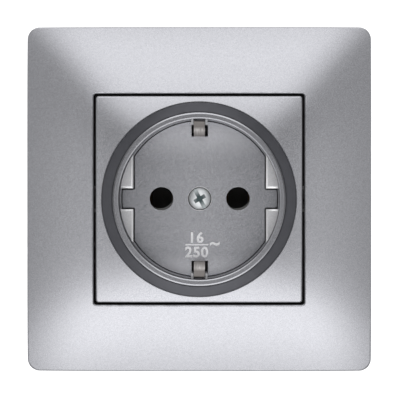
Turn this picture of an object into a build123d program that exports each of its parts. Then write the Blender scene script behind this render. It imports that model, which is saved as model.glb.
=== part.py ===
from build123d import *
import math
import os

# Flush-mounted earthed wall socket with a square cover frame.
# Modelled on its back: X right, Y up, Z out of the wall towards the room, with the wall's surface at
# Z = 0. The finished pieces are stood up on export, so that the front then faces -Y with Z up.

# Plug well
well_radius = 19.7
well_depth = 17.5
well_wall = 1.35
well_overrun = 0.8
land_rise = 0.6
land_bevel = 0.25
lip_width = 0.25
lip_rise = 0.5
guide_inset = 3.28
guide_gap = 5.14
guide_height = 2.6
guide_bevel = 0.4

# Dark trim ring around the well
ring_width = 2.45
ring_thickness = 1.0
ring_fall = 2.1
ring_reveal = 0.7
ring_seat_wall = 1.4

# Front plate
plate_margin = 1.5
plate_corner_radius = 0.7
plate_edge_radius = 0.45
plate_hole_bevel = 0.3
plate_skin = 1.8
skirt_wall = 1.4
hook_width = 4.0
hook_offset = 13.0
hook_length = 1.7
hook_barb = 0.7

# Cover frame
frame_border = 16.4
plate_gap = 0.5
frame_corner_radius = 3.0
frame_wall = 1.8
frame_skin = 1.9
frame_edge_radius = 0.5
opening_edge_radius = 0.4
rim_wall = 1.6
rib_thickness = 1.0
rib_offset = 13.8
rib_foot = 3.6
ledge_thickness = 1.3
ledge_reach = 1.6

# Pillow-shaped front that the frame and the plate share
crown_height = 9.5
edge_height = 5.0
pillow_power = 3.0
pillow_squareness = 5.0
pillow_grid = 24

# Contact cover, the floor of the well
pin_spacing = 19.0
pin_hole_radius = 2.9
cover_flange = 1.2
cover_clearance = 0.2
floor_gap = 0.3
floor_corner_radius = 0.35
screw_recess_depth = 1.2

# Earth clips, measured inwards from the well's wall
clip_width = 2.7
clip_reach = 4.2
clip_foot = 2.5
clip_tip = 0.55
clip_crest_height = 7.8
clip_tip_height = 11.0
clip_slot_width = 4.0
clip_slot_inner = 4.25
clip_slot_outer = 1.5
clip_post_height = 9.0
clip_post_depth = 1.45
clip_post_width = 0.53

# Screws
screw_radius = 1.5
screw_slot_width = 0.9
screw_slot_depth = 1.0
centre_head_radius = 2.72
centre_head_dome = 0.75
centre_head_drop = 0.25
centre_slot_angle = 61.0
centre_cross_length = 3.0
centre_cross_depth = 1.1
centre_screw_reach = 6.5
terminal_head_radius = 2.7
terminal_head_height = 2.0
terminal_screw_length = 5.4

# Support ring and its rivets
support_size = 70.0
support_thickness = 1.0
support_corner = 9.0
support_flange = 1.6
box_screw_spacing = 60.0
box_slot_width = 3.6
box_slot_length = 5.6
rivet_radius = 1.5
rivet_head_radius = 2.5
rivet_head_height = 0.8
rivet_boss_radius = 3.2
rivet_boss_height = 5.0
rivet_tail_height = 0.7

# Base housing
pin_length = 19.0
pin_end_room = 0.5
cup_wall = 1.15
base_height = 40.0
base_corner = 4.0
base_chamfer = 0.6
back_wall = 1.7
chamber_half_width = 4.4
chamber_half_height = 4.2
wire_window = 4.4
wire_window_length = 9.4

# Contacts, clamps and terminals, with depths measured behind the contact cover
strip = 0.8
contact_gap = 4.9
contact_height = 8.0
contact_window = 5.8
contact_flare = 0.5
contact_belly = 0.25
contact_mouth_depth = 1.3
contact_throat_depth = 3.5
contact_belly_depth = 9.0
terminal_drop = 11.5
terminal_depth = 10.0
terminal_tail = 10.0
clamp_size = 8.8
clamp_thickness = 1.2
wire_space = 2.4
strap_width = 6.0
earth_tail_inset = 5.1
earth_tail_width = 10.0

# Expanding claws
claw_lever = 4.4
claw_lean = 22.0
claw_pivot_depth = 4.0
claw_width = 7.8
claw_thickness = 1.4
claw_length = 14.0
claw_arm_end = 3.4
claw_tooth = 2.6
claw_eye_wall = 1.0
claw_pin_radius = 1.0
claw_window_half = 1.9
claw_head_radius = 2.6
claw_head_height = 1.9
claw_screw_tail = 2.0
lug_thickness = 1.7
lug_half_length = 2.2

# Clearances between pieces, and the overlap that merges two shapes into one
seat_gap = 0.05
slack = 0.1
side_clearance = 0.3
well_clearance = 0.35
screw_clearance = 0.25
head_room = 0.6
merge = 0.2

# Sizes across the wall that follow from the values above
tube_radius = well_radius + well_wall
ring_inner_radius = tube_radius + seat_gap
ring_outer_radius = ring_inner_radius + ring_width
ring_hole_radius = ring_outer_radius + seat_gap
plate_size = 2 * (ring_hole_radius + plate_margin)
opening_size = plate_size + 2 * plate_gap
rim_size = opening_size + 2 * rim_wall
frame_size = opening_size + 2 * frame_border
pocket_radius = tube_radius + well_clearance
cup_radius = pocket_radius + cup_wall
rivet_offset = (cup_radius + rivet_boss_radius - 1) / math.sqrt(2)
claw_screw_x = cup_radius + screw_radius + well_clearance
claw_pivot_x = claw_screw_x - claw_lever * math.cos(math.radians(claw_lean))
base_width = 2 * (claw_pivot_x - claw_pin_radius - claw_eye_wall - 4 * side_clearance)
contact_x = pin_spacing / 2
tail_x = contact_x + contact_gap / 2 + contact_belly
earth_tail_y = well_radius - earth_tail_inset


def pillow_height(x, y):
    """Height of the pillow-shaped front above the wall."""
    reach = (abs(x) ** pillow_squareness + abs(y) ** pillow_squareness) ** (1 / pillow_squareness)
    return crown_height - (crown_height - edge_height) * (2 * reach / frame_size) ** pillow_power


# Levels above and below the wall that follow from the values above
face_z = pillow_height(ring_hole_radius, 0)
ring_top = face_z - ring_reveal
land_z = ring_top - ring_fall + land_rise
floor_z = face_z - well_depth
well_end = floor_z - well_overrun
flange_top = well_end - cover_clearance
cover_back = flange_top - cover_flange
chamber_floor = floor_z - pin_length - pin_end_room
base_back = chamber_floor - back_wall
ledge_bottom = support_thickness + slack
ledge_top = ledge_bottom + ledge_thickness
skirt_end = ledge_top + seat_gap
terminal_z = cover_back - terminal_depth
claw_pivot_z = cover_back - claw_pivot_depth
claw_notch_half = claw_head_radius + head_room
claw_notch_top = support_thickness + claw_head_height + head_room


def pillow_body(drop):
    """All the space under the pillow surface after it is lowered by drop."""
    half = frame_size * 0.53
    steps = [half * (2 * i / pillow_grid - 1) for i in range(pillow_grid + 1)]
    grid = [[(x, y, pillow_height(x, y) - drop) for y in steps] for x in steps]
    top = Face.make_surface_from_array_of_points(grid, tol=0.004)
    return extrude(top, amount=2 * crown_height + drop, dir=(0, 0, -1))


def slab(sketch, bottom, top):
    """A sketch in the plane of the wall extruded from one height to another."""
    return extrude(Pos(0, 0, bottom) * sketch, amount=top - bottom)


def block(x0, x1, y0, y1, z0, z1):
    """A box between two corners."""
    middle = Pos((x0 + x1) / 2, (y0 + y1) / 2, (z0 + z1) / 2)
    return middle * Box(abs(x1 - x0), abs(y1 - y0), abs(z1 - z0))


def rod(radius, x, y, bottom, top):
    """A cylinder along Z."""
    return Pos(x, y, (bottom + top) / 2) * Cylinder(radius, top - bottom)


def square(size, radius):
    """A rounded square centred on the socket's axis."""
    return RectangleRounded(size, size, radius)


def turned(section):
    """A closed outline of radius and height turned about the socket's axis."""
    return revolve(Plane.XZ * make_face(Polyline(*section, close=True)), Axis.Z)


def axis_distance(edge):
    """How far a point near the middle of an edge is from the socket's axis."""
    point = edge @ 0.45
    return math.hypot(point.X, point.Y)


def edges_above(piece, height):
    """The edges that lie wholly above a height."""
    return [e for e in piece.edges() if e.bounding_box().min.Z > height]


def left_and_right(piece):
    """A piece with its mirror image on the other side of the socket."""
    return piece + mirror(piece, Plane.YZ)


def above_and_below(piece):
    """A piece with its mirror image below the socket's axis."""
    return piece + mirror(piece, Plane.XZ)


def make_cover_frame():
    """Square frame with a pillow front, hollow behind, and a ledge that the plate holds down."""
    frame = slab(square(frame_size, frame_corner_radius), 0, 2 * crown_height) & pillow_body(0)
    frame -= slab(square(opening_size, plate_corner_radius), -1, 2 * crown_height)
    divide = frame_size / 2 - frame_corner_radius
    outer = [e for e in edges_above(frame, support_thickness) if axis_distance(e) > divide]
    frame = fillet(outer, frame_edge_radius)
    inner = [e for e in edges_above(frame, ledge_top) if axis_distance(e) < opening_size * 0.72]
    frame = fillet(inner, opening_edge_radius)

    inside = frame_size - 2 * frame_wall
    hollow = square(inside, frame_corner_radius / 2) - square(rim_size, plate_corner_radius)
    frame -= slab(hollow, -1, 2 * crown_height) & pillow_body(frame_skin)

    # Ribs between the rim and the outer wall stiffen the hollow back
    half = rib_thickness / 2
    rib = block(rim_size / 2 - merge, inside / 2 + merge, -half, half, rib_foot, crown_height)
    rib = above_and_below(Pos(0, rib_offset, 0) * rib) & pillow_body(frame_skin - merge)
    for turn in (0, 90, 180, 270):
        frame += Rot(0, 0, turn) * rib

    # The rim stops above the support ring and carries the ledge
    frame -= slab(square(rim_size, plate_corner_radius), -1, ledge_bottom)
    ledge = square(opening_size + 2 * merge, plate_corner_radius)
    ledge -= square(opening_size - 2 * ledge_reach, plate_corner_radius)
    frame += slab(ledge, ledge_bottom, ledge_top)

    # Notches clear the claw screws' heads and the plate's hooks
    notch = block(
        claw_screw_x - claw_notch_half,
        rim_size / 2 + slack,
        -claw_notch_half,
        claw_notch_half,
        -1,
        claw_notch_top,
    )
    gap = hook_width / 2 + 4 * slack
    hook_way = block(
        opening_size / 2 - ledge_reach - slack,
        plate_size / 2 + slack,
        hook_offset - gap,
        hook_offset + gap,
        0,
        ledge_top + slack,
    )
    return frame - left_and_right(notch + above_and_below(hook_way))


def make_front_plate():
    """Square plate with the plug well behind it, its guide blocks and its four snap hooks."""
    plate = slab(square(plate_size, plate_corner_radius), skirt_end, 2 * crown_height) & pillow_body(0)
    plate -= rod(ring_hole_radius, 0, 0, 0, 2 * crown_height)
    divide = ring_hole_radius + slack
    rim = [e for e in edges_above(plate, skirt_end + merge) if axis_distance(e) > divide]
    plate = fillet(rim, plate_edge_radius)
    hole = [e for e in edges_above(plate, skirt_end + merge) if axis_distance(e) < divide]
    plate = chamfer(hole, plate_hole_bevel)
    inside = square(plate_size - 2 * skirt_wall, plate_corner_radius)
    plate -= slab(inside, 0, 2 * crown_height) & pillow_body(plate_skin)

    # The well hangs from a dished seat that carries the trim ring
    shelf = ring_top - ring_thickness - seat_gap
    collar = ring_hole_radius + plate_margin / 2
    collar_top = pillow_height(collar, 0) - plate_skin / 2
    well = turned(
        [
            (well_radius, well_end),
            (well_radius, land_z),
            (tube_radius, land_z),
            (tube_radius, shelf - ring_fall),
            (ring_hole_radius, shelf),
            (ring_hole_radius, collar_top),
            (collar, collar_top),
            (collar, shelf - ring_seat_wall),
            (tube_radius, shelf - ring_fall - ring_seat_wall),
            (tube_radius, well_end),
        ]
    )
    land = [e for e in well.edges() if abs(e.center().Z - land_z) < seat_gap]
    plate += chamfer([e for e in land if e.geom_type == GeomType.CIRCLE], land_bevel)

    # A narrow lip and four guide blocks surround the floor
    outer = Circle(well_radius + merge)
    plate += slab(outer - Circle(well_radius - lip_width), well_end, floor_z + lip_rise)
    quarter = Rectangle(well_radius, well_radius, align=(Align.MIN, Align.MIN))
    quarter = outer & Pos(well_radius - guide_inset, guide_gap / 2) * quarter
    guide = slab(quarter, well_end, floor_z + guide_height)
    top = edges_above(guide, floor_z + guide_height - seat_gap)
    guide = chamfer([e for e in top if e.geom_type == GeomType.LINE], guide_bevel)
    plate += left_and_right(above_and_below(guide))

    # Posts on the well's wall stand either side of each earth clip
    start = clip_width / 2 + slack
    post = block(
        start,
        start + clip_post_width,
        well_radius - clip_post_depth,
        well_radius + merge,
        floor_z + well_clearance,
        floor_z + clip_post_height,
    )
    plate += left_and_right(above_and_below(post))

    # Snap hooks pass through the support ring and catch behind it
    half = plate_size / 2
    barb = Polyline(
        (half - skirt_wall, skirt_end + merge),
        (half, skirt_end + merge),
        (half, -slack),
        (half + hook_barb, -slack),
        (half, -hook_length),
        (half - skirt_wall, -hook_length),
        close=True,
    )
    hook = extrude(Plane.XZ * make_face(barb), amount=hook_width / 2, both=True)
    plate += left_and_right(above_and_below(Pos(0, hook_offset, 0) * hook))
    notch = block(
        half - skirt_wall - merge,
        half + merge,
        -claw_notch_half,
        claw_notch_half,
        0,
        claw_notch_top,
    )
    return plate - left_and_right(notch)


def make_trim_ring():
    """Dark dished ring that lies on the plate's seat between its face and the well."""
    ring_foot = ring_top - ring_fall
    return turned(
        [
            (ring_outer_radius, ring_top),
            (ring_inner_radius, ring_foot),
            (ring_inner_radius, ring_foot - ring_thickness),
            (ring_outer_radius, ring_top - ring_thickness),
        ]
    )


def make_contact_cover():
    """Floor of the well over the live parts, with pin holes, clip slots and the screw's recess."""
    radius = well_radius - lip_width - floor_gap
    side = well_radius - guide_inset - floor_gap
    tab = guide_gap / 2 - floor_gap
    outline = Circle(radius) & Rectangle(2 * side, 2 * radius)
    outline += Circle(radius) & Rectangle(2 * radius, 2 * tab)
    corners = [v for v in outline.vertices() if abs(abs(v.Y) - tab) < seat_gap]
    cover = slab(fillet(corners, floor_corner_radius), cover_back, floor_z)
    cover += slab(Circle(tube_radius), cover_back, flange_top)
    cover -= left_and_right(rod(pin_hole_radius, contact_x, 0, cover_back - 1, floor_z + 1))
    recess = centre_head_radius + 1.5 * slack
    cover -= rod(recess, 0, 0, floor_z - screw_recess_depth, floor_z + 1)
    cover -= rod(screw_radius + screw_clearance, 0, 0, cover_back - 1, floor_z)
    slot = block(
        -clip_slot_width / 2,
        clip_slot_width / 2,
        well_radius - clip_slot_inner,
        well_radius - clip_slot_outer,
        cover_back - 1,
        floor_z + 1,
    )
    return cover - above_and_below(slot)


def make_centre_screw():
    """Domed screw with a combined slot and cross recess that fixes the contact cover."""
    seat = floor_z - screw_recess_depth + seat_gap
    rim = floor_z - centre_head_drop
    top = rim + centre_head_dome
    outline = Polyline((0, top), (0, seat), (centre_head_radius, seat), (centre_head_radius, rim))
    outline += TangentArc((0, top), (centre_head_radius, rim), tangent=(1, 0))
    head = revolve(Plane.XZ * make_face(outline), Axis.Z)
    reach = centre_head_radius + 1
    half = screw_slot_width / 2
    slot = block(-reach, reach, -half, half, top - screw_slot_depth, top + 1)
    arm = centre_cross_length / 2
    cross = block(-half, half, -arm, arm, top - centre_cross_depth, top + 1)
    head -= Rot(0, 0, 180 - centre_slot_angle) * (slot + cross)
    return head + rod(screw_radius, 0, 0, cover_back - centre_screw_reach, seat + merge)


def make_support_ring():
    """Pressed steel ring that screws to the wall box, with turned-up edges."""
    ring = square(support_size, support_corner) - Circle(pocket_radius + side_clearance)
    for turn in (0, 90, 180, 270):
        slot = SlotOverall(box_slot_length, box_slot_width)
        ring -= Rot(0, 0, turn) * Pos(box_screw_spacing / 2, 0) * slot
    screw_hole = Pos(claw_screw_x, 0) * Circle(screw_radius + screw_clearance)
    rivet_hole = Pos(rivet_offset, rivet_offset) * Circle(rivet_radius + seat_gap)
    # Each hook springs inwards through its window and its barb catches past the outer edge
    window_x = (plate_size - skirt_wall - hook_barb) / 2
    window = Rectangle(skirt_wall + hook_barb + 2 * slack, hook_width + 8 * slack)
    holes = above_and_below(rivet_hole + Pos(window_x, hook_offset) * window) + screw_hole
    plate = slab(ring - left_and_right(holes), 0, support_thickness)
    edge = support_size / 2
    length = edge - support_corner - 1
    rise = support_thickness + support_flange
    flange = block(edge - support_thickness, edge, -length, length, 0, rise)
    for turn in (0, 90, 180, 270):
        plate += Rot(0, 0, turn) * flange
    return plate


def make_base_housing():
    """Moulded base: a round cup for the well in front and a block for the contacts behind."""
    base = rod(cup_radius, 0, 0, cover_back - head_room, 0)
    rear = slab(RectangleRounded(base_width, base_height, base_corner), base_back, cover_back + merge)
    base += chamfer(rear.faces().sort_by(Axis.Z)[0].edges(), base_chamfer)
    boss = rod(rivet_boss_radius, rivet_offset, rivet_offset, -rivet_boss_height, 0)
    base += left_and_right(above_and_below(boss))
    base -= rod(pocket_radius, 0, 0, cover_back, 1)
    bore = rod(rivet_radius + seat_gap, rivet_offset, rivet_offset, -rivet_boss_height - 1, 1)
    base -= left_and_right(above_and_below(bore))

    # Chambers for the two contacts and their terminals
    chamber_top = cover_back + slack
    chamber = block(
        contact_x - chamber_half_width,
        contact_x + chamber_half_width,
        -chamber_half_height,
        chamber_half_height,
        chamber_floor,
        chamber_top,
    )
    low = -terminal_drop - wire_window_length / 2
    high = -terminal_drop + wire_window_length / 2
    wall_x = tail_x + strip + 4 * slack
    inner_x = tail_x - wire_space - clamp_thickness - terminal_head_height
    chamber += block(inner_x, wall_x, low, 0, chamber_floor, chamber_top)
    chamber += block(wall_x - wire_window, wall_x, low, high, base_back - 1, chamber_floor + 1)
    driver_way = Cylinder(terminal_head_radius + 4 * slack, base_width - 2 * wall_x)
    chamber += Pos(base_width / 2, -terminal_drop, terminal_z) * Rot(0, 90, 0) * driver_way
    base -= left_and_right(chamber)

    # Channel for the earth strap and chamber for the earth terminal
    strap_half = strap_width / 2 + merge
    strap_end = well_radius - clip_foot + strip
    base -= block(-strap_half, strap_half, -strap_end, strap_end, cover_back - 1.1, chamber_top)
    base -= rod(screw_radius + screw_clearance, 0, 0, cover_back - centre_screw_reach - 1, cover_back)
    low = earth_tail_y - wire_space - clamp_thickness - 1.4
    high = earth_tail_y + strip + 1
    half = earth_tail_width / 2 + 4 * slack
    base -= block(-half, half, low, high, chamber_floor, chamber_top)
    half = wire_window_length / 2
    base -= block(-half, half, low, low + wire_window, base_back - 1, chamber_floor + 1)
    driver_way = Cylinder(terminal_head_radius + 4 * slack, base_height - 2 * earth_tail_y - 2 * strip)
    base -= Pos(0, base_height / 2, terminal_z) * Rot(90, 0, 0) * driver_way

    # Lugs carry the claws' hinge pins
    inner_y = claw_width / 2 + side_clearance
    lug = block(
        base_width / 2 - 1,
        claw_pivot_x,
        inner_y,
        inner_y + lug_thickness,
        claw_pivot_z - lug_half_length,
        claw_pivot_z + lug_half_length,
    )
    pivot = Pos(claw_pivot_x, 0, claw_pivot_z) * Rot(90, 0, 0)
    lug += Pos(0, inner_y + lug_thickness / 2, 0) * pivot * Cylinder(lug_half_length, lug_thickness)
    lug -= pivot * Cylinder(claw_pin_radius + seat_gap, 3 * claw_width)
    return base + left_and_right(above_and_below(lug))


def make_ring_rivets():
    """Four rivets that join the support ring to the base."""
    seat = support_thickness
    head = rod(rivet_head_radius, 0, 0, seat, seat + rivet_head_height)
    rivet = chamfer(edges_above(head, seat + rivet_head_height / 2), rivet_head_height / 2)
    foot = -rivet_boss_height
    rivet += rod(rivet_radius, 0, 0, foot - merge, seat + merge)
    rivet += rod(rivet_radius + head_room, 0, 0, foot - rivet_tail_height, foot)
    spots = [(x, y) for x in (-rivet_offset, rivet_offset) for y in (-rivet_offset, rivet_offset)]
    return Compound([Pos(x, y, 0) * rivet for x, y in spots])


def make_right_contact():
    """Brass clip for one plug pin, with a tail that carries its wire terminal."""
    throat = (contact_gap + strip) / 2
    belly = throat + contact_belly
    mouth = belly + contact_flare
    bottom = chamber_floor + slack + strip / 2
    path = Polyline(
        (-mouth, cover_back - contact_mouth_depth),
        (-throat, cover_back - contact_throat_depth),
        (-belly, cover_back - contact_belly_depth),
        (-belly, bottom),
        (belly, bottom),
        (belly, cover_back - contact_belly_depth),
        (throat, cover_back - contact_throat_depth),
        (mouth, cover_back - contact_mouth_depth),
    )
    ribbon = Plane.XZ * trace(path, line_width=strip)
    clip = extrude(ribbon, amount=contact_height / 2, both=True)
    # The pin's tip passes through a window in the web that joins the two springs
    side = belly - strip / 2
    half = contact_window / 2
    clip -= block(-side, side, -half, half, bottom - strip, bottom + strip)
    clip = Pos(contact_x, 0, 0) * clip
    half = terminal_tail / 2
    low = -terminal_drop - clamp_size / 2
    tail_end = tail_x + strip
    tail = block(tail_x, tail_end, low, -chamber_half_height, terminal_z - half, terminal_z + half)
    neck_top = cover_back - contact_belly_depth - strip
    tail += block(tail_x, tail_end, -chamber_half_height - merge, 0, terminal_z - half, neck_top)
    hole = Cylinder(screw_radius + screw_clearance, 4 * strip)
    tail -= Pos(tail_x, -terminal_drop, terminal_z) * Rot(0, 90, 0) * hole
    return clip + tail


def wire_clamp():
    """Square clamp plate on the XY plane with its threaded hole at the origin."""
    half = clamp_size / 2
    return block(-half, half, -half, half, 0, clamp_thickness) - Cylinder(screw_radius + seat_gap, 9)


def terminal_screw():
    """Slotted terminal screw with its head's underside at the origin and its shank along -Z."""
    top = terminal_head_height
    reach = terminal_head_radius + 1
    half = screw_slot_width / 2
    head = rod(terminal_head_radius, 0, 0, 0, top)
    head -= block(-reach, reach, -half, half, top - screw_slot_depth, top + 1)
    return head + rod(screw_radius, 0, 0, -terminal_screw_length, merge)


def make_right_wire_clamp():
    """Clamp plate that the terminal screw draws up against the contact's tail."""
    x = tail_x - wire_space - clamp_thickness
    return Pos(x, -terminal_drop, terminal_z) * Rot(0, 90, 0) * wire_clamp()


def make_right_terminal_screw():
    """Terminal screw of the right contact, reached from the base's side."""
    x = tail_x + strip + seat_gap
    return Pos(x, -terminal_drop, terminal_z) * Rot(0, 90, 0) * terminal_screw()


def make_earth_strap():
    """Strap with a spring clip at each end, a threaded middle and the earth terminal's tail."""
    top = cover_back - slack
    middle = top - strip / 2
    half = strap_width / 2
    high = earth_tail_y + strip
    strap = block(-half, half, -high, high, top - strip, top)
    foot = well_radius - clip_foot
    crest = well_radius - clip_reach + strip / 2
    path = Polyline((high - strip, middle), (foot, middle), (foot, floor_z))
    spring = Spline(
        (foot, floor_z),
        (crest, floor_z + clip_crest_height),
        (well_radius - clip_tip, floor_z + clip_tip_height),
        tangents=[(0, 1), (0.9, 0.5)],
    )
    ribbon = trace(path, line_width=strip) + trace(spring, line_width=strip)
    strap += above_and_below(extrude(Plane.YZ * ribbon, amount=clip_width / 2, both=True))
    half = earth_tail_width / 2
    tail = block(-half, half, earth_tail_y, high, terminal_z - terminal_tail / 2, top)
    hole = Cylinder(screw_radius + screw_clearance, 4 * strip)
    tail -= Pos(0, earth_tail_y, terminal_z) * Rot(90, 0, 0) * hole
    return strap + tail - rod(screw_radius + seat_gap, 0, 0, top - 1, top + 1)


def make_earth_wire_clamp():
    """Clamp plate of the earth terminal."""
    return Pos(0, earth_tail_y - wire_space, terminal_z) * Rot(90, 0, 0) * wire_clamp()


def make_earth_terminal_screw():
    """Terminal screw of the earth strap, reached from the base's top."""
    y = earth_tail_y + strip + seat_gap
    return Pos(0, y, terminal_z) * Rot(-90, 0, 0) * terminal_screw()


def make_right_claw():
    """Bell-crank claw: a rolled eye, a slotted arm for the screw and a toothed gripping arm."""
    half = claw_thickness / 2
    arm_length = claw_lever + claw_arm_end
    arm = Rot(0, 0, -claw_lean) * Pos(arm_length / 2, 0) * Rectangle(arm_length, claw_thickness)
    grip = Pos(0, -claw_length / 2) * Rectangle(claw_thickness, claw_length)
    tooth = Polyline(
        (-half, 0),
        (half, claw_thickness),
        (claw_tooth, half),
        (claw_thickness, 0),
        (claw_tooth, -half),
        (-half, -half),
        close=True,
    )
    eye = Circle(claw_pin_radius + claw_eye_wall)
    outline = arm + grip + Pos(0, -claw_length) * make_face(tooth) + eye
    claw = extrude(Plane.XZ * outline, amount=claw_width / 2, both=True)
    claw -= Rot(90, 0, 0) * Cylinder(claw_pin_radius + seat_gap, 2 * claw_width)
    slot_start = claw_pin_radius + claw_eye_wall + slack
    slot_end = arm_length - claw_thickness
    slot_half = screw_radius + side_clearance
    long_hole = block(slot_start, slot_end, -slot_half, slot_half, -claw_thickness, claw_thickness)
    claw -= Rot(0, claw_lean, 0) * long_hole
    window_end = claw_length * 0.6
    window = claw_window_half
    claw -= block(-claw_tooth, claw_tooth, -window, window, -window_end, -slot_start - half)
    return Pos(claw_pivot_x, 0, claw_pivot_z) * claw


def make_right_claw_screw():
    """Claw screw through the support ring into the claw's slotted arm."""
    bottom = support_thickness + slack
    top = bottom + claw_head_height
    reach = claw_head_radius + 1
    half = screw_slot_width / 2
    head = rod(claw_head_radius, 0, 0, bottom, top)
    head -= block(-reach, reach, -half, half, top - screw_slot_depth, top + 1)
    tail = claw_pivot_z - claw_lever * math.sin(math.radians(claw_lean)) - claw_screw_tail
    return Pos(claw_screw_x, 0, 0) * (head + rod(screw_radius, 0, 0, tail, bottom + merge))


def make_right_claw_pin():
    """Hinge pin of one claw, held in the base's lugs."""
    length = claw_width + 2 * (side_clearance + lug_thickness)
    return Pos(claw_pivot_x, 0, claw_pivot_z) * Rot(90, 0, 0) * Cylinder(claw_pin_radius, length)


pieces = {
    "cover_frame": make_cover_frame(),
    "front_plate": make_front_plate(),
    "trim_ring": make_trim_ring(),
    "contact_cover": make_contact_cover(),
    "centre_screw": make_centre_screw(),
    "support_ring": make_support_ring(),
    "base_housing": make_base_housing(),
    "ring_rivets": make_ring_rivets(),
    "right_contact": make_right_contact(),
    "right_wire_clamp": make_right_wire_clamp(),
    "right_terminal_screw": make_right_terminal_screw(),
    "earth_strap": make_earth_strap(),
    "earth_wire_clamp": make_earth_wire_clamp(),
    "earth_terminal_screw": make_earth_terminal_screw(),
    "right_claw": make_right_claw(),
    "right_claw_screw": make_right_claw_screw(),
    "right_claw_pin": make_right_claw_pin(),
}
for name in [n for n in pieces if n.startswith("right_")]:
    pieces[name.replace("right_", "left_")] = mirror(pieces[name], Plane.YZ)

os.makedirs("parts", exist_ok=True)
for name, piece in pieces.items():
    export_step(Rot(90, 0, 0) * piece, f"parts/{name}.step")
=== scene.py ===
import math

import bmesh
import bpy
from mathutils import Matrix, Vector


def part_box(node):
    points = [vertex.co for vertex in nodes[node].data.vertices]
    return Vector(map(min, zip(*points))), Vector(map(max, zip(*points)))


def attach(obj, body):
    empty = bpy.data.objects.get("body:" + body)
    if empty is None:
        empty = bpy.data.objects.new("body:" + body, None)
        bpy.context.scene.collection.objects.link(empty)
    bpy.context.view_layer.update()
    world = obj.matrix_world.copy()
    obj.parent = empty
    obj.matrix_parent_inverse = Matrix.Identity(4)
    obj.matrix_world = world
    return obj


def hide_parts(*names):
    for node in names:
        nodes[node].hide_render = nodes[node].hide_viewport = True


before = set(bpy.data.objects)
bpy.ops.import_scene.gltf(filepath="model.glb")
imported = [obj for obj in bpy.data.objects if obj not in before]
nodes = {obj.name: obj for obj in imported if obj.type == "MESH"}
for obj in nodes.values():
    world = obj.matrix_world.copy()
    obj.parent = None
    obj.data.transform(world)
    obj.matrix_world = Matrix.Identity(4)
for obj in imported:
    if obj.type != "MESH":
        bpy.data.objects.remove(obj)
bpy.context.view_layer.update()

# Base housing: the block behind the well that keeps the live parts apart.
# It is compression-moulded in a black filled plastic, so its edges leave the mould slightly round
# and its skin has a fine matt grain. Four rivets fix it to the support ring.
mm = 0.001
join_distance = 0.0005 * mm
flat_angle = math.radians(0.5)
crease_angle = math.radians(35)
smooth_corners = 6
square_on = 0.99999


def joined_copy(node):
    """A copy of a solid's mesh whose faces share their corners."""
    bm = bmesh.new()
    bm.from_mesh(nodes[node].data)
    bmesh.ops.remove_doubles(bm, verts=bm.verts, dist=join_distance)
    return bm


def solid_copy(node):
    """A joined-up copy of a solid's mesh, with each of its flat faces whole."""
    bm = joined_copy(node)
    bmesh.ops.dissolve_limit(bm, angle_limit=flat_angle, verts=bm.verts, edges=bm.edges)
    return bm


def ease_edges(bm, radius, edges=None, turn=40):
    """Rounds the outer edges that turn by more than an angle, all of them or only those given."""
    chosen = edges if edges is not None else bm.edges
    least = math.radians(turn)
    sharp = [e for e in chosen if e.is_manifold and e.is_convex and e.calc_face_angle() > least]
    bmesh.ops.bevel(
        bm,
        geom=sharp,
        offset=radius,
        offset_type="OFFSET",
        affect="EDGES",
        segments=2,
        profile=0.5,
        material=-1,
        clamp_overlap=False,
        loop_slide=False,
    )
    return bm


def seat_piece(bm, name, finish, node=None, body="socket"):
    """Makes a finished mesh a piece of a body, in the place of the solid that it details."""
    mesh = bpy.data.meshes.new(name)
    bm.to_mesh(mesh)
    bm.free()
    stored = mesh.attributes.get("custom_normal")
    if stored:
        mesh.attributes.remove(stored)
    mesh.materials.append(finish)
    mesh.shade_smooth()
    mesh.set_sharp_from_angle(angle=crease_angle)
    for face in mesh.polygons:
        face.use_smooth = len(face.vertices) <= smooth_corners and abs(face.normal.y) < square_on
    piece = bpy.data.objects.new(name, mesh)
    bpy.context.scene.collection.objects.link(piece)
    even = piece.modifiers.new("even_shading", "WEIGHTED_NORMAL")
    even.keep_sharp = True
    even.weight = 80
    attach(piece, body)
    if node:
        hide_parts(node)
    return piece


def feed(tree, socket, value):
    """Gives a shader's socket a plain value or another node's output."""
    if isinstance(value, bpy.types.NodeSocket):
        tree.links.new(value, socket)
    else:
        socket.default_value = value


def wire(tree, kind, settings=None, **sockets):
    """A shader node; each socket, named in lower case, takes a value or another node's output."""
    made = tree.nodes.new("ShaderNode" + kind)
    for name, value in (settings or {}).items():
        setattr(made, name, value)
    for name, value in sockets.items():
        socket = next(s for s in made.inputs if s.enabled and s.name.lower() == name.replace("_", " "))
        feed(tree, socket, value)
    return made


def reckon(tree, operation, *terms):
    """One sum in a shader; each term is a number or another node's output."""
    made = wire(tree, "Math", {"operation": operation})
    for socket, term in zip(made.inputs, terms):
        feed(tree, socket, term)
    return made.outputs[0]


def ramp(tree, value, start, full, height=1.0, **settings):
    """0 where a value is at its start, and a height where it is full."""
    made = wire(tree, "MapRange", settings, value=value, from_min=start, from_max=full, to_max=height)
    return made.outputs["Result"]


def place_in(tree):
    """Where a point of the surface lies in the part's own frame."""
    return wire(tree, "TexCoord").outputs["Object"]


def axes_in(tree):
    """The same place as its X, Y and Z."""
    return wire(tree, "SeparateXYZ", vector=place_in(tree)).outputs


def new_finish(name, colour, metallic, roughness):
    """A finish with its plain values; what varies over the surface is wired in after it."""
    finish = bpy.data.materials.new(name)
    finish.use_nodes = True
    shader = finish.node_tree.nodes["Principled BSDF"]
    shader.inputs["Base Color"].default_value = (*colour, 1)
    shader.inputs["Metallic"].default_value = metallic
    shader.inputs["Roughness"].default_value = roughness
    return finish, finish.node_tree, shader


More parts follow.
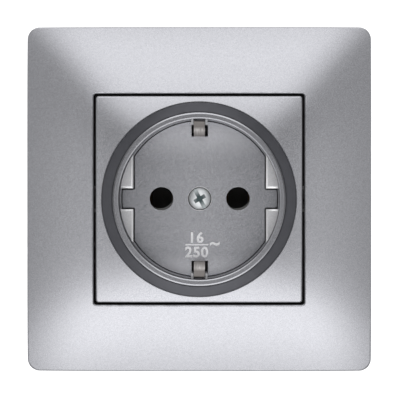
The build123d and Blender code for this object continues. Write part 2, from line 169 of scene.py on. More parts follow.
def vary(tree, shader, mask, colours, roughness):
    """Lets a mask lead a finish from one colour and roughness to another."""
    tint = wire(tree, "ValToRGB", fac=mask)
    for stop, colour in zip(tint.color_ramp.elements, colours):
        stop.color = (*colour, 1)
    tree.links.new(tint.outputs["Color"], shader.inputs["Base Color"])
    gloss = wire(tree, "MapRange", value=mask, to_min=roughness[0], to_max=roughness[1])
    tree.links.new(gloss.outputs["Result"], shader.inputs["Roughness"])


def raise_grain(tree, shader, height, depth):
    """Wires a height that varies over the surface into a finish's bump."""
    bump = wire(tree, "Bump", strength=1.0, distance=depth, height=height)
    tree.links.new(bump.outputs["Normal"], shader.inputs["Normal"])


def surface_grain():
    """A shader group of fine pits, a slow mottle and single flecks, set by the size of one grain."""
    mottle_grains = 9
    group = bpy.data.node_groups.new("surface_grain", "ShaderNodeTree")
    size_socket = group.interface.new_socket("Size", in_out="INPUT", socket_type="NodeSocketFloat")
    size_socket.default_value = 0.2 * mm
    for title in ("Grain", "Mottle", "Fleck"):
        group.interface.new_socket(title, in_out="OUTPUT", socket_type="NodeSocketFloat")
    size = group.nodes.new("NodeGroupInput").outputs["Size"]
    given = group.nodes.new("NodeGroupOutput").inputs
    place = place_in(group)
    fine = reckon(group, "DIVIDE", 1.0, size)
    slow = reckon(group, "DIVIDE", fine, mottle_grains)
    pits = wire(group, "TexNoise", vector=place, scale=fine, detail=2.0, roughness=0.6)
    cloud = wire(group, "TexNoise", vector=place, scale=slow, detail=3.0, roughness=0.55)
    cells = wire(group, "TexVoronoi", vector=place, scale=fine)
    apart = wire(group, "SeparateColor", color=cells.outputs["Color"])
    group.links.new(pits.outputs["Fac"], given["Grain"])
    group.links.new(cloud.outputs["Fac"], given["Mottle"])
    group.links.new(apart.outputs["Red"], given["Fleck"])
    return group


grain = surface_grain()


def grain_in(tree, size):
    """The surface grain's outputs, placed in a finish at a given size."""
    return wire(tree, "Group", {"node_tree": grain}, size=size).outputs


def mottled_finish(name, shade, metallic, roughness, grain_size, relief):
    """A finish with a slow mottle between two shades and a grain in low relief."""
    finish, tree, shader = new_finish(name, shade[0], metallic, sum(roughness) / 2)
    skin = grain_in(tree, grain_size)
    vary(tree, shader, skin["Mottle"], shade, roughness)
    raise_grain(tree, shader, skin["Grain"], relief)
    return finish


# The same black lies on the hidden backs and, as painted shade, on the walls of the gaps between the
# sprayed pieces.
moulding_shade = ((0.012, 0.012, 0.013), (0.026, 0.026, 0.028))
black_moulding = mottled_finish(
    "black_moulding",
    moulding_shade,
    metallic=0.0,
    roughness=(0.38, 0.52),
    grain_size=0.22 * mm,
    relief=0.02 * mm,
)
moulded_edge = 0.12 * mm
base = ease_edges(solid_copy("base_housing"), moulded_edge)
seat_piece(base, "base_moulding", black_moulding, "base_housing")

# Contacts: two springy clips that grip the plug's pins, each with a tail for its wires.
# They are stamped and folded from rolled brass strip, which keeps faint lines along its length,
# and they lie in the base's chambers.
brass_shade = ((0.30, 0.19, 0.075), (0.46, 0.31, 0.13))
rolled_lines = (9000, 600, 9000)
contact_edge = 0.08 * mm
contact_brass, tree, shader = new_finish("contact_brass", brass_shade[0], metallic=1.0, roughness=0.4)
rolled = wire(tree, "Mapping", vector=place_in(tree), scale=rolled_lines)
lines = wire(tree, "TexNoise", vector=rolled.outputs["Vector"], scale=1.0, detail=3.0).outputs["Fac"]
vary(tree, shader, lines, brass_shade, roughness=(0.30, 0.48))
raise_grain(tree, shader, lines, depth=0.004 * mm)
for side in ("left", "right"):
    clip = ease_edges(solid_copy(f"{side}_contact"), contact_edge)
    seat_piece(clip, f"{side}_contact_clip", contact_brass, f"{side}_contact")

# Clamp plates: small squares that press the wires against a contact's or the strap's tail.
# They are stamped from steel and zinc-plated, and each rides on its terminal screw.
zinc_shade = ((0.40, 0.41, 0.42), (0.58, 0.585, 0.59))
spangle_size = 0.9 * mm
brightest_spangle = 0.6
clamp_edge = 0.15 * mm
zinc_steel, tree, shader = new_finish("zinc_steel", zinc_shade[0], metallic=1.0, roughness=0.35)
skin = grain_in(tree, spangle_size)
spangle = ramp(tree, reckon(tree, "MULTIPLY", skin["Mottle"], skin["Fleck"]), 0.0, brightest_spangle)
vary(tree, shader, spangle, zinc_shade, roughness=(0.28, 0.46))
raise_grain(tree, shader, skin["Grain"], depth=0.004 * mm)
for terminal in ("left", "right", "earth"):
    clamp = ease_edges(solid_copy(f"{terminal}_wire_clamp"), clamp_edge)
    seat_piece(clamp, f"{terminal}_clamp_plate", zinc_steel, f"{terminal}_wire_clamp")

# Terminal screws: three slotted screws that draw the clamp plates up against the tails.
# They are turned from steel, thread-rolled and bright zinc-plated, and a driver reaches them
# through the sides and the top of the base.
screw_shade = ((0.30, 0.325, 0.335), (0.50, 0.525, 0.54))
zinc_screw = mottled_finish(
    "zinc_screw",
    screw_shade,
    metallic=1.0,
    roughness=(0.20, 0.36),
    grain_size=0.25 * mm,
    relief=0.003 * mm,
)
shank_radius = 1.5 * mm
thread_pitch = 0.5 * mm
thread_depth = 0.26 * mm
thread_steps = 20
thread_join = 0.002 * mm


def threaded_shank(length):
    """A screw's shank along Z: one pitch of its thread spun up a helix and cut square at both ends."""
    bm = bmesh.new()
    core, crest = shank_radius - thread_depth, shank_radius
    outline = ((core, 0.0), (core, 0.12), (crest, 0.46), (crest, 0.58), (core, 0.92), (core, 1.0))
    points = [bm.verts.new((r, 0, (z - 1) * thread_pitch)) for r, z in outline]
    for lower, upper in zip(points, points[1:]):
        bm.edges.new((lower, upper))
    turns = math.ceil(length / thread_pitch) + 2
    bmesh.ops.spin(
        bm,
        geom=bm.verts[:] + bm.edges[:],
        cent=(0, 0, 0),
        axis=(0, 0, 1),
        dvec=(0, 0, thread_pitch / thread_steps),
        angle=2 * math.pi * turns,
        steps=thread_steps * turns,
    )
    bmesh.ops.remove_doubles(bm, verts=bm.verts, dist=thread_join)
    for height, keep_above in ((0.0, True), (length, False)):
        bmesh.ops.bisect_plane(
            bm,
            geom=bm.verts[:] + bm.edges[:] + bm.faces[:],
            plane_co=(0, 0, height),
            plane_no=(0, 0, 1),
            clear_inner=keep_above,
            clear_outer=not keep_above,
        )
    bmesh.ops.edgeloop_fill(bm, edges=[e for e in bm.edges if e.is_boundary])
    bmesh.ops.recalc_face_normals(bm, faces=bm.faces)
    return bm


def threaded_screw(node, tip, head_height, edge):
    """A solid's own screw head with eased edges, on a shank that has its thread."""
    below_head, overlap = 0.01 * mm, 0.1 * mm
    corner, far_corner = (Vector(point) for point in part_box(node))
    reach = abs((far_corner - corner).dot(tip)) / 2
    under = (corner + far_corner) / 2 + tip * (head_height - reach)
    head = solid_copy(node)
    bmesh.ops.bisect_plane(
        head,
        geom=head.verts[:] + head.edges[:] + head.faces[:],
        plane_co=under + tip * below_head,
        plane_no=tip,
        clear_outer=True,
    )
    bmesh.ops.edgeloop_fill(head, edges=[e for e in head.edges if e.is_boundary])
    ease_edges(head, edge)
    shank = threaded_shank(2 * reach - head_height + overlap)
    turned = Vector((0, 0, 1)).rotation_difference(tip).to_matrix().to_4x4()
    stand = Matrix.Translation(under - tip * overlap) @ turned
    bmesh.ops.transform(shank, matrix=stand, verts=shank.verts)
    joined = bpy.data.meshes.new(node + "_shank")
    shank.to_mesh(joined)
    shank.free()
    head.from_mesh(joined)
    bpy.data.meshes.remove(joined)
    return head


screw_edge = 0.15 * mm
terminal_head_height = 2.0 * mm
for terminal, tip in (("left", (1, 0, 0)), ("right", (-1, 0, 0)), ("earth", (0, 0, -1))):
    node = f"{terminal}_terminal_screw"
    screw = threaded_screw(node, Vector(tip), terminal_head_height, screw_edge)
    seat_piece(screw, f"{terminal}_clamp_screw", zinc_screw, node)

# Earth strap: one strip across the base that ends in a spring clip at the top and bottom of the well.
# It is stamped and bent from tinned bronze, and the middle screw threads into the strap. Plugs draw
# fine lines along the clips where they bend in, which show in a painted highlight across each clip's
# middle;
# its tip and its turn into the floor carry painted shade.
# Painted highlight and shade: the clips run from a dark shade at the tip and the turn to a near-white
# highlight across their middle.
bronze_shade_and_highlight = ((0.31, 0.285, 0.272), (0.98, 0.94, 0.92))
tip_in_shade, tip_lit = 17.65 * mm, 16.95 * mm
turn_in_shade, turn_lit = 15.4 * mm, 16.85 * mm
drawn_lines = (2900, 260, 260)
faint_streak, full_streak = 0.1, 0.6
strap_edge = 0.1 * mm
tinned_bronze, tree, shader = new_finish("tinned_bronze", bronze_shade_and_highlight[0], metallic=0.3, roughness=0.45)
drawn = wire(tree, "Mapping", vector=place_in(tree), scale=drawn_lines).outputs["Vector"]
lines = wire(tree, "TexNoise", vector=drawn, scale=1.0, detail=2.0, roughness=0.6).outputs["Fac"]
from_middle = reckon(tree, "ABSOLUTE", axes_in(tree)["Z"])
lit_past_tip = ramp(tree, from_middle, tip_in_shade, tip_lit)
lit_before_turn = ramp(tree, from_middle, turn_in_shade, turn_lit)
streaks = ramp(tree, lines, faint_streak, full_streak)
painted_highlight_lines = reckon(tree, "MULTIPLY", streaks, reckon(tree, "MULTIPLY", lit_past_tip, lit_before_turn))
vary(tree, shader, painted_highlight_lines, bronze_shade_and_highlight, roughness=(0.50, 0.36))
raise_grain(tree, shader, lines, depth=0.012 * mm)
strap = ease_edges(solid_copy("earth_strap"), strap_edge)
seat_piece(strap, "earth_clip_strap", tinned_bronze, "earth_strap")

# Support ring: the pressed steel plate that the wall box's screws hold, with turned-up edges.
# It is blanked and zinc-plated, and four rivets with flat heads join it to the base.
pressed_edge = 0.12 * mm
rivet_edge = 0.08 * mm
ring = ease_edges(solid_copy("support_ring"), pressed_edge)
seat_piece(ring, "support_ring_pressing", zinc_steel, "support_ring")
rivets = ease_edges(solid_copy("ring_rivets"), rivet_edge)
seat_piece(rivets, "ring_rivet_set", zinc_steel, "ring_rivets")

# Spreading claws: two levers that swing out and grip the wall box when their screws are turned.
# They are stamped from thick steel and zinc-plated. Each turns on a pin in the base's lugs,
# and its screw, which has a dull plating, comes through the support ring from the front.
# The screw is painted a dark grey, as painted shade for the gap that its head sits in.
# Painted shade: the claw screws' dark grey stands for the shade of the gap that their heads sit in.
claw_screw_gap_shade = ((0.15, 0.154, 0.155), (0.24, 0.244, 0.245))
dull_zinc_gap_shade = mottled_finish(
    "dull_zinc_gap_shade",
    claw_screw_gap_shade,
    metallic=0.6,
    roughness=(0.56, 0.68),
    grain_size=0.25 * mm,
    relief=0.003 * mm,
)
claw_head_height = 1.9 * mm
into_wall = Vector((0, 1, 0))
for side in ("left", "right"):
    claw = ease_edges(solid_copy(f"{side}_claw"), pressed_edge)
    seat_piece(claw, f"{side}_claw_lever", zinc_steel, f"{side}_claw", f"{side}_claw")
    pin = ease_edges(solid_copy(f"{side}_claw_pin"), pressed_edge)
    seat_piece(pin, f"{side}_hinge_pin", zinc_steel, f"{side}_claw_pin")
    node = f"{side}_claw_screw"
    screw = threaded_screw(node, into_wall, claw_head_height, screw_edge)
    seat_piece(screw, f"{side}_claw_draw_screw", dull_zinc_gap_shade, node, node)

# Contact cover: the floor of the well, with the pin holes, the clips' slots and the screw's recess.
# It is moulded in black and sprayed with a metallic silver lacquer, whose flakes sparkle finely.
# Its faces below the floor's face are painted black, as painted shade in the gaps and the pin holes.
# Each pin hole has a raised sill at its foot, painted a lighter grey as painted light on its lit lower
# wall.
# The floor's lacquer carries painted light and shade, and the rim of the screw's recess a painted
# highlight.
flake_size = 0.18 * mm
flake_relief = 0.0005 * mm
# Painted light on the floor: how far it lightens the middle, the bottom and the top.
floor_flakes = 0.24
lit_floor_middle = (15 * mm, 3 * mm, 0.175)
lit_floor_bottom = (-13 * mm, -20 * mm, 0.7)
lit_floor_top = (8 * mm, 19.5 * mm, 0.6)


def new_lacquer(name, shade, roughness, coverage=None, metallic=0.8):
    """A metallic lacquer with fine flakes; where a coverage is given, it leads them."""
    lacquer, tree, shader = new_finish(name, shade[0], metallic, roughness[0])
    skin = grain_in(tree, flake_size)
    flakes = coverage(tree, skin["Fleck"]) if coverage else skin["Fleck"]
    vary(tree, shader, flakes, shade, roughness)
    raise_grain(tree, shader, skin["Grain"], flake_relief)
    return lacquer


def floor_painted_light(tree, fleck):
    """Painted light and shade on the floor: darker towards its left and right, lighter towards its
    middle, its top and its bottom, with the flakes over it.
    """
    spot = axes_in(tree)
    middle = ramp(tree, reckon(tree, "ABSOLUTE", spot["X"]), *lit_floor_middle)
    bottom = ramp(tree, spot["Z"], *lit_floor_bottom, interpolation_type="SMOOTHSTEP")
    top = ramp(tree, spot["Z"], *lit_floor_top, interpolation_type="SMOOTHSTEP")
    thick = reckon(tree, "ADD", middle, reckon(tree, "ADD", bottom, top))
    return reckon(tree, "MULTIPLY_ADD", fleck, floor_flakes, thick)


# Painted light and shade: the floor's colour runs from a dark grey at its left and right to a light
# grey at its middle, top and bottom.
floor_shade_and_light = ((0.333, 0.336, 0.361), (0.90, 0.904, 0.957))
floor_lacquer = new_lacquer(
    "floor_lacquer",
    floor_shade_and_light,
    roughness=(0.22, 0.22),
    coverage=floor_painted_light,
)
# Painted highlight: a near-white lacquer for the rim of the screw's recess and the guide blocks'
# rounded edges.
edge_highlight_shade = ((0.86, 0.86, 0.88), (0.98, 0.98, 1.0))
edge_highlight_lacquer = new_lacquer("edge_highlight_lacquer", edge_highlight_shade, roughness=(0.28, 0.32))
# Painted light: a lighter grey for each pin hole's sill, standing for its lit lower wall.
sill_painted_light = ((0.17, 0.17, 0.168), (0.23, 0.23, 0.227))
lit_sill_grey = mottled_finish(
    "lit_sill_grey",
    sill_painted_light,
    metallic=0.0,
    roughness=(0.40, 0.50),
    grain_size=0.22 * mm,
    relief=0.005 * mm,
)
floor_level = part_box("contact_cover")[0][1]
gap_shade_level = floor_level + 0.15 * mm
sill_level = floor_level + 0.6 * mm
sill_rise = 0.6 * mm
sill_way = Vector((-0.34, 0, 0.94))
sill_lean = -0.1
pin_offset = 9.5 * mm
pin_hole_reach = 3.1 * mm
upright_wall = 0.2
recess_rim = 3.1 * mm
rim_lean = (-0.97, -0.2)
gap_start = 18.9 * mm
gap_narrowing = 0.07 * mm
floor_edge = 0.08 * mm


def in_pin_hole(point):
    """Whether a point lies in one of the pin holes, or on its edge."""
    return math.hypot(abs(point.x) - pin_offset, point.z) < pin_hole_reach


def add_finish(piece, finish):
    """A further finish on a piece; gives the number that its faces take for it."""
    piece.data.materials.append(finish)
    return len(piece.data.materials) - 1


cover = ease_edges(solid_copy("contact_cover"), floor_edge)
for v in cover.verts:
    from_axis = math.hypot(v.co.x, v.co.z)
    if from_axis > gap_start:
        v.co += Vector((v.co.x, 0, v.co.z)) * gap_narrowing / from_axis
walls = [
    f for f in cover.faces if in_pin_hole(f.calc_center_median()) and abs(f.normal.y) < upright_wall
]
bmesh.ops.bisect_plane(
    cover,
    geom=walls + list({e for f in walls for e in f.edges}) + list({v for f in walls for v in f.verts}),
    plane_co=(0, sill_level, 0),
    plane_no=(0, 1, 0),
)
for v in cover.verts:
    if v.co.y > gap_shade_level and in_pin_hole(v.co):
        from_pin = Vector((v.co.x - math.copysign(pin_offset, v.co.x), 0, v.co.z))
        v.co += sill_way * sill_rise * max(0, -from_pin.dot(sill_way) / pin_hole_reach)
cover_piece = seat_piece(cover, "well_floor", floor_lacquer, "contact_cover")
bare_back_and_gap_shade = add_finish(cover_piece, black_moulding)
edge_highlight = add_finish(cover_piece, edge_highlight_lacquer)
sill = add_finish(cover_piece, lit_sill_grey)
for face in cover_piece.data.polygons:
    spot, lean = face.center, face.normal.y
    # Faces below the floor's face, in the gaps and the pin holes, take black as painted shade.
    face.material_index = bare_back_and_gap_shade if spot.y > gap_shade_level else 0
    # The rim of the screw's recess takes a near-white painted highlight.
    if math.hypot(spot.x, spot.z) < recess_rim and rim_lean[0] < lean < rim_lean[1]:
        face.material_index = edge_highlight
    # Each pin hole's raised sill takes a lighter grey as painted light on its lit lower wall.
    if in_pin_hole(spot) and lean < sill_lean and gap_shade_level < spot.y < sill_level:
        face.material_index = sill

# Rating: plain raised numerals for 16 over 250 with a wave sign, moulded on the floor below the screw.
# They are a little lighter than the floor around them.
rating_shade = ((0.74, 0.74, 0.76), (0.88, 0.88, 0.90))
pale_relief = new_lacquer("pale_relief", rating_shade, roughness=(0.34, 0.40))
relief_height = 0.12 * mm
stroke_widening = 0.10 * mm
digit_share = 0.70
rating_middle = -0.72 * mm
bar_level = -11.42 * mm
bar_size = (5.65 * mm, 2 * relief_height, 0.32 * mm)
rating = bmesh.new()
for words, digit_height, x, z in (
    ("16", 2.5 * mm, rating_middle - 0.2 * mm, -10.85 * mm),
    ("250", 2.5 * mm, rating_middle - 0.05 * mm, -14.45 * mm),
    ("~", 2.9 * mm, 3.7 * mm, -12.3 * mm),
):
    line = bpy.data.curves.new("rating_line", "FONT")
    line.body = words
    line.align_x = "CENTER"
    line.size = digit_height / digit_share
    line.space_character = 1.1
    line.offset = stroke_widening
    line.extrude = relief_height
    line.resolution_u = 4
    line_piece = bpy.data.objects.new("rating_line", line)
    bpy.context.scene.collection.objects.link(line_piece)
    shaped = line_piece.evaluated_get(bpy.context.evaluated_depsgraph_get())
    shape = bpy.data.meshes.new_from_object(shaped)
    shape.transform(Matrix.Translation((x, floor_level, z)) @ Matrix.Rotation(math.pi / 2, 4, "X"))
    rating.from_mesh(shape)
    bpy.data.objects.remove(line_piece)
    bpy.data.curves.remove(line)
    bpy.data.meshes.remove(shape)
bar_place = Matrix.Translation((rating_middle, floor_level, bar_level))
bmesh.ops.create_cube(rating, size=1.0, matrix=bar_place @ Matrix.Diagonal((*bar_size, 1)))
seat_piece(rating, "rating_relief", pale_relief)

# Middle screw: domed head with a combined slot and cross recess that holds the floor and the well.
# It is cold-headed steel with a bright bluish zinc plating, sunk in the floor's recess.
bright_shade = ((0.82, 0.85, 0.865), (0.94, 0.96, 0.975))
bright_zinc = mottled_finish(
    "bright_zinc",
    bright_shade,
    metallic=0.75,
    roughness=(0.36, 0.48),
    grain_size=0.2 * mm,
    relief=0.004 * mm,
)
# Painted shade: the recess darkens towards the middle of the cross, where it lies deepest.
recess_painted_shade = ((0.08, 0.11, 0.115), (0.50, 0.54, 0.555))
recess_dark, recess_light = 0.7 * mm, 2.1 * mm
shaded_recess_zinc, tree, shader = new_finish("shaded_recess_zinc", recess_painted_shade[0], metallic=0.75, roughness=0.4)
across = wire(tree, "Mapping", vector=place_in(tree), scale=(1, 0, 1)).outputs["Vector"]
from_axis = wire(tree, "VectorMath", {"operation": "LENGTH"}, vector=across).outputs["Value"]
shaded = ramp(tree, from_axis, recess_dark, recess_light)
vary(tree, shader, shaded, recess_painted_shade, roughness=(0.36, 0.46))
raise_grain(tree, shader, grain_in(tree, size=0.2 * mm)["Grain"], depth=0.004 * mm)
middle_head_height = 1.65 * mm
middle_screw_edge = 0.08 * mm
recess_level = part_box("centre_screw")[0][1] + 0.75 * mm
recess_reach = 2.55 * mm
recess_side = 0.5
screw = threaded_screw("centre_screw", into_wall, middle_head_height, middle_screw_edge)
screw_piece = seat_piece(screw, "middle_screw", bright_zinc, "centre_screw")
recessed = add_finish(screw_piece, shaded_recess_zinc)
for face in screw_piece.data.polygons:
    inside = math.hypot(face.center.x, face.center.z) < recess_reach
    sunk_or_side = face.center.y > recess_level or abs(face.normal.y) < recess_side
    face.material_index = recessed if inside and sunk_or_side else 0

# Front plate: square plate in one moulding with the well, its land, its lip and its guide blocks.
# It is sprayed from the front, so its back stays black; its sides in the gap are painted black as
# painted shade. Painted shade also lies on the well's wall behind its mouth, on the land and on the
# land's outer edge at the left and right; the guide tops and the posts carry painted light, and the
# guide edges painted highlights. Four hooks snap behind the support ring.
lacquer_shade = ((0.455, 0.458, 0.488), (0.545, 0.548, 0.582))
silver_lacquer = new_lacquer("silver_lacquer", lacquer_shade, roughness=(0.19, 0.22))
# Painted shade: a darker lacquer for the land's flat band and the frame's rounded opening edge.
land_painted_shade = ((0.31, 0.312, 0.334), (0.37, 0.372, 0.397))
shaded_land_lacquer = new_lacquer("shaded_land_lacquer", land_painted_shade, roughness=(0.19, 0.22))
# Painted light: a lighter lacquer for the guide blocks' tops and the posts' fronts.
lit_top_shade = ((0.70, 0.70, 0.72), (0.79, 0.79, 0.81))
lit_top_lacquer = new_lacquer("lit_top_lacquer", lit_top_shade, roughness=(0.28, 0.32))
# Painted shade on the well's wall behind its mouth, lighter deeper down and on the upper side.
wall_painted_shade = ((0.10, 0.101, 0.109), (0.40, 0.403, 0.43))
wall_flakes = 0.2
lit_deep_wall = (1.5 * mm, 5.0 * mm, 0.8)
lit_upper_wall = (6 * mm, 16 * mm, 0.7)
# Painted shade on the land's outer edge at the well's left and right.
edge_painted_shade = ((0.18, 0.181, 0.193), (0.50, 0.503, 0.535))
edge_flakes = 0.1
lit_above_and_below = (19.0 * mm, 9.5 * mm, 0.9)


def shaded_at_mouth(tree, fleck):
    """Painted shade on the well's wall behind its mouth, lighter deeper down and on its upper side,
    with the flakes over it.
    """
    spot = axes_in(tree)
    deep = ramp(tree, spot["Y"], *lit_deep_wall)
    upper = ramp(tree, spot["Z"], *lit_upper_wall)
    return reckon(tree, "MULTIPLY_ADD", fleck, wall_flakes, reckon(tree, "MAXIMUM", deep, upper))


def shaded_beside_well(tree, fleck):
    """Painted shade on the land's outer edge at the well's left and right, with the flakes over it."""
    covered = ramp(tree, reckon(tree, "ABSOLUTE", axes_in(tree)["X"]), *lit_above_and_below)
    return reckon(tree, "MULTIPLY_ADD", fleck, edge_flakes, covered)


shaded_wall_lacquer = new_lacquer(
    "shaded_wall_lacquer",
    wall_painted_shade,
    roughness=(0.7, 0.5),
    coverage=shaded_at_mouth,
    metallic=0.1,
)
shaded_wall_lacquer.node_tree.nodes["Principled BSDF"].inputs["Specular IOR Level"].default_value = 0.1
shaded_edge_lacquer = new_lacquer(
    "shaded_edge_lacquer",
    edge_painted_shade,
    roughness=(0.19, 0.22),
    coverage=shaded_beside_well,
)
crown_height = 9.5 * mm
edge_height = 5.0 * mm
frame_size = 84.0 * mm
corner_power = 5
fall_power = 3


def pillow_height(x, z):
    """How far the pillow-shaped front stands out from the wall."""
    reach = (abs(x) ** corner_power + abs(z) ** corner_power) ** (1 / corner_power)
    return crown_height - (crown_height - edge_height) * (2 * reach / frame_size) ** fall_power


def pillow_copy(node):
    """A joined-up copy of a solid whose pillow face is divided and laid on its true curve."""
    near = 0.008 * mm
    bm = joined_copy(node)
    front = {v for v in bm.verts if abs(v.co.y + pillow_height(v.co.x, v.co.z)) < near}
    plain = [v for v in bm.verts if v not in front]
    plain_edges = [e for e in bm.edges if e.verts[0] not in front or e.verts[1] not in front]
    bmesh.ops.dissolve_limit(bm, angle_limit=flat_angle, verts=plain, edges=plain_edges)
    edges = [e for e in bm.edges if e.verts[0] in front and e.verts[1] in front]
    made = bmesh.ops.subdivide_edges(bm, edges=edges, cuts=3, use_grid_fill=True)
    for v in made["geom_inner"]:
        if isinstance(v, bmesh.types.BMVert):
            v.co.y = -pillow_height(v.co.x, v.co.z)
    return bm


def true_shading(piece):
    """Gives the pillow face the normals of its true curve, so that light runs evenly over it."""
    near, step = 0.012 * mm, 0.01 * mm
    shaped = piece.evaluated_get(bpy.context.evaluated_depsgraph_get()).to_mesh()
    normals = [corner.vector.copy() for corner in shaped.corner_normals]
    for face in piece.data.polygons:
        points = [piece.data.vertices[i].co for i in face.vertices]
        if all(abs(p.y + pillow_height(p.x, p.z)) < near for p in points):
            for loop, p in zip(face.loop_indices, points):
                rise_x = pillow_height(p.x - step, p.z) - pillow_height(p.x + step, p.z)
                rise_z = pillow_height(p.x, p.z - step) - pillow_height(p.x, p.z + step)
                normals[loop] = Vector((rise_x, -2 * step, rise_z)).normalized()
    piece.modifiers.clear()
    piece.data.normals_split_custom_set(normals)


well_reach = 24.2 * mm
well_radius = 19.7 * mm
well_inside = 19.8 * mm
plate_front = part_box("front_plate")[0][1]
mouth_level = -6.0 * mm
hole_bevel_radius = 23.9 * mm
hole_edge_radius = 23.80 * mm
bevel_match = 0.02 * mm
land_level = 6.5017 * mm
land_edge = (20.8 * mm, 21.1 * mm)
land_edge_depth = 0.15 * mm
land_steps = (
    (19.7 * mm, land_level - 0.25 * mm, 19.7 * mm, land_level - 0.10 * mm),
    (19.95 * mm, land_level, 19.96 * mm, land_level),
    (20.8 * mm, land_level, 20.78 * mm, land_level),
    (21.05 * mm, land_level - 0.25 * mm, 21.11 * mm, land_level - 0.09 * mm),
)
step_match = 0.03 * mm
level_match = 0.01 * mm
guide_level = floor_level - 2.6 * mm
guide_zone = (guide_level - 0.1 * mm, floor_level - 1.5 * mm)
guide_bevel = 0.4 * mm
guide_fall = 0.15 * mm
guide_round = 0.06 * mm
guide_turn = 12
post_level = floor_level - 9.0 * mm
post_match = 0.3 * mm
wall_match = 0.05 * mm
wall_lean = 0.1
front_lean = -0.3
flat_lean = -0.995
gap_shade_depth = 0.48 * mm
plate = pillow_copy("front_plate")
for v in plate.verts:
    from_axis = math.hypot(v.co.x, v.co.z)
    for was_radius, was_level, radius, level in land_steps:
        if abs(from_axis - was_radius) < step_match and abs(v.co.y + was_level) < step_match:
            v.co = (v.co.x * radius / from_axis, -level, v.co.z * radius / from_axis)
            break
    if abs(from_axis - hole_bevel_radius) < bevel_match and v.co.y < mouth_level:
        x, z = v.co.x * hole_edge_radius / from_axis, v.co.z * hole_edge_radius / from_axis
        v.co = (x, max(-pillow_height(x, z), plate_front), z)
for v in plate.verts:
    at_bevel = abs(v.co.y - guide_level - guide_bevel) < bevel_match
    if at_bevel and math.hypot(v.co.x, v.co.z) < well_inside:
        v.co.y = guide_level + guide_fall
guide_tops = {
    v for v in plate.verts if abs(v.co.y - guide_level) < level_match and abs(v.co.x) < well_inside
}
guide_rims = [e for e in plate.edges if e.verts[0] in guide_tops and e.verts[1] in guide_tops]
ease_edges(plate, guide_round, guide_rims, guide_turn)
plate_piece = seat_piece(plate, "well_plate", silver_lacquer, "front_plate")
true_shading(plate_piece)
bare_back_and_gap_shade = add_finish(plate_piece, black_moulding)
edge_highlight = add_finish(plate_piece, edge_highlight_lacquer)
land = add_finish(plate_piece, shaded_land_lacquer)
lit_top = add_finish(plate_piece, lit_top_lacquer)
wall = add_finish(plate_piece, shaded_wall_lacquer)
shaded_edge = add_finish(plate_piece, shaded_edge_lacquer)
for face in plate_piece.data.polygons:
    spot, lean = face.center, face.normal.y
    corners = [plate_piece.data.vertices[i].co for i in face.vertices]
    from_axis = sum(math.hypot(corner.x, corner.z) for corner in corners) / len(corners)
    sunk = spot.y + pillow_height(spot.x, spot.z)
    in_well, frontal = from_axis < well_inside, lean < front_lean
    behind = from_axis > well_reach and sunk > gap_shade_depth
    turned_away = from_axis > well_inside and lean > front_lean
    # Backs and faces turned away take black; on the sides in the gap it is painted shade.
    face.material_index = bare_back_and_gap_shade if behind or turned_away else 0
    # Guide tops take a lighter lacquer as painted light, and their rounded edges a near-white painted
    # highlight.
    if in_well and frontal and guide_zone[0] < spot.y < guide_zone[1]:
        face.material_index = lit_top if lean < flat_lean else edge_highlight
    # The land's flat band takes a darker lacquer as painted shade.
    if from_axis > well_inside and abs(spot.y + land_level) < level_match:
        face.material_index = land
    # The well's wall takes a lacquer with painted shade behind the mouth.
    if abs(from_axis - well_radius) < wall_match and abs(lean) < wall_lean:
        face.material_index = wall
    # The land's outer edge takes a lacquer with painted shade at the well's left and right.
    beside_land = land_edge[0] < from_axis < land_edge[1]
    if beside_land and frontal and abs(spot.y + land_level) < land_edge_depth:
        face.material_index = shaded_edge
    # The posts' fronts take the same lighter lacquer as painted light.
    if in_well and frontal and abs(spot.y - post_level) < post_match:
        face.material_index = lit_top

# Trim ring: the dark dished ring between the plate's face and the well.
# It is a separate smooth moulding in satin dark grey that lies in a seat of the plate.
trim_shade = ((0.115, 0.117, 0.132), (0.141, 0.143, 0.160))
dark_trim = mottled_finish(
    "dark_trim",
    trim_shade,
    metallic=0.5,
    roughness=(0.34, 0.40),
    grain_size=0.3 * mm,
    relief=0.001 * mm,
)
inner_edge = 21.3 * mm
edge_lift = 0.25 * mm
trim_edge = 0.04 * mm
trim = solid_copy("trim_ring")
for v in trim.verts:
    if math.hypot(v.co.x, v.co.z) < inner_edge:
        v.co.y -= edge_lift
ease_edges(trim, trim_edge)
seat_piece(trim, "dark_ring", dark_trim, "trim_ring")

# Cover frame: the square frame over the ring and the wall box's edge, hollow and ribbed behind.
# It is injection-moulded in black and sprayed with the same lacquer on its front and outer sides,
# and the plate's hooks hold it down. The walls of its opening are painted black as painted shade in the
# gap, and the opening's rounded edge is painted darker as painted shade.
outer_side = 41.4 * mm
back_lean = 0.5
front_depth = 0.02 * mm
cover_frame = pillow_copy("cover_frame")
frame_piece = seat_piece(cover_frame, "lacquered_frame", silver_lacquer, "cover_frame")
true_shading(frame_piece)
bare_back_and_gap_shade = add_finish(frame_piece, black_moulding)
shaded_edge = add_finish(frame_piece, shaded_land_lacquer)
for face in frame_piece.data.polygons:
    spot = face.center
    at_edge = max(abs(spot.x), abs(spot.z)) > outer_side and face.normal.y < back_lean
    sunk = spot.y + pillow_height(spot.x, spot.z)
    # Faces sunk below the front take black; on the walls of the gap it is painted shade.
    face.material_index = bare_back_and_gap_shade if sunk > gap_shade_depth and not at_edge else 0
    # The rounded edge of the opening takes the darker land lacquer as painted shade.
    if front_depth < sunk < gap_shade_depth and not at_edge:
        face.material_index = shaded_edge

# Studio: white paper all round, with a broad soft light above the camera and another below it,
# both in front of the object, a fill from every side and a plain light for its back.
# Each edge is a pair of directions: where a light starts to show, and where it is full.
scene = bpy.context.scene
scene.view_settings.view_transform = "Standard"
world = bpy.data.worlds.new("studio")
scene.world = world
world.use_nodes = True
studio = world.node_tree


def light_sum(operation, *terms):
    """One sum in the studio's light; each term is a number or another node's output."""
    return reckon(studio, operation, *terms)


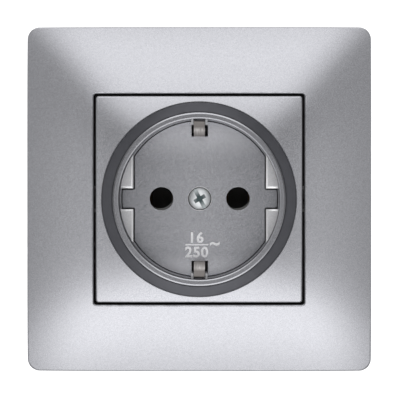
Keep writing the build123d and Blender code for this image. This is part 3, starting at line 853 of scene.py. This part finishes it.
def fade(direction, edge):
    """How far a light has faded in across one of its edges."""
    return ramp(studio, direction, *edge)


fill_light = 0.385
top_light = 1.2
lower_light = 1.46
back_light = 0.9
overhead_light = 0.25
lens_shade = 0.95
below_shade = 0.65
front_edge = (0.1, -0.1)
back_edge = (0.15, 0.6)
top_foot, top_sides, top_head = (0.03, 0.15), (0.95, 0.30), (1.25, 0.48)
top_foot_width = 0.07
lower_head, lower_sides, lower_foot = (0.03, -0.19), (0.74, 0.28), (-1.4, -0.42)
lower_droop = 0.05
lower_taper = 0.15
lens_edge, lens_height = (-0.955, -0.988), (0.24, 0.10)
below_edge = (-0.35, -0.65)
overhead_edge = (0.75, 0.95)
towards = wire(studio, "SeparateXYZ", vector=wire(studio, "TexCoord").outputs["Generated"]).outputs
sideways = light_sum("ABSOLUTE", towards["X"])
up = towards["Z"]
off_level = light_sum("ABSOLUTE", up)
fan = light_sum("DIVIDE", sideways, light_sum("ADD", light_sum("MAXIMUM", up, 0.0), top_foot_width))
top_box = light_sum("MULTIPLY", fade(up, top_foot), fade(fan, top_sides))
top_box = light_sum("MULTIPLY", top_box, fade(up, top_head))
drooped = light_sum("ADD", up, light_sum("MULTIPLY", sideways, lower_droop))
tapered = light_sum("ADD", sideways, light_sum("MULTIPLY", off_level, lower_taper))
lower_box = light_sum("MULTIPLY", fade(drooped, lower_head), fade(tapered, lower_sides))
lower_box = light_sum("MULTIPLY", lower_box, fade(up, lower_foot))
from_top = light_sum("MULTIPLY", top_box, top_light)
light = light_sum("ADD", from_top, light_sum("MULTIPLY", lower_box, lower_light))
light = light_sum("MULTIPLY", light, fade(towards["Y"], front_edge))
light = light_sum("ADD", light, light_sum("MULTIPLY", fade(towards["Y"], back_edge), back_light))
lens = light_sum("MULTIPLY", fade(towards["Y"], lens_edge), lens_shade)
lens = light_sum("MULTIPLY", lens, fade(off_level, lens_height))
below = light_sum("MULTIPLY", fade(up, below_edge), below_shade)
fill = light_sum("MULTIPLY", light_sum("SUBTRACT", 1.0, lens), light_sum("SUBTRACT", 1.0, below))
light = light_sum("ADD", light, light_sum("MULTIPLY", fill, fill_light))
light = light_sum("ADD", light, light_sum("MULTIPLY", fade(up, overhead_edge), overhead_light))
seen = wire(studio, "LightPath").outputs["Is Camera Ray"]
backdrop = studio.nodes["Background"]
backdrop.inputs["Color"].default_value = (1, 1, 1, 1)
studio.links.new(light_sum("MAXIMUM", light, seen), backdrop.inputs["Strength"])

# Floor: a plain pale disc well below the socket, for views from other sides.
# The camera's own view doesn't reach it, and it takes no part in the socket's light.
floor_drop = 0.25
floor_radius = 0.9
floor_sides = 96
stage_shade = ((0.78, 0.78, 0.78), (0.84, 0.84, 0.84))
pale_floor, tree, shader = new_finish("pale_floor", stage_shade[0], metallic=0.0, roughness=0.7)
vary(tree, shader, grain_in(tree, size=4.0 * mm)["Mottle"], stage_shade, roughness=(0.65, 0.75))
floor_bm = bmesh.new()
disc_place = Matrix.Translation((0, 0, -floor_drop))
bmesh.ops.create_circle(
    floor_bm,
    cap_ends=True,
    segments=floor_sides,
    radius=floor_radius,
    matrix=disc_place,
)
floor_mesh = bpy.data.meshes.new("floor")
floor_bm.to_mesh(floor_mesh)
floor_bm.free()
floor_mesh.materials.append(pale_floor)
floor = bpy.data.objects.new("floor", floor_mesh)
scene.collection.objects.link(floor)
floor.visible_diffuse = False
floor.visible_glossy = False
floor.visible_shadow = False

# Camera: nearly straight on, as the photograph is taken, with a long lens from about 0.8 m.
# It stands a little to the right and above, so slightly more of the well's left and lower wall shows.
camera_data = bpy.data.cameras.new("camera")
camera_data.sensor_width = 36.0
camera_data.lens = 296.9
camera = bpy.data.objects.new("camera", camera_data)
camera.location = (8.7 * mm, -809.5 * mm, 6.5 * mm)
aim = Vector((0.236 * mm, -7.5 * mm, -0.186 * mm))
camera.rotation_euler = (aim - camera.location).to_track_quat("-Z", "Y").to_euler()
scene.collection.objects.link(camera)
scene.camera = camera
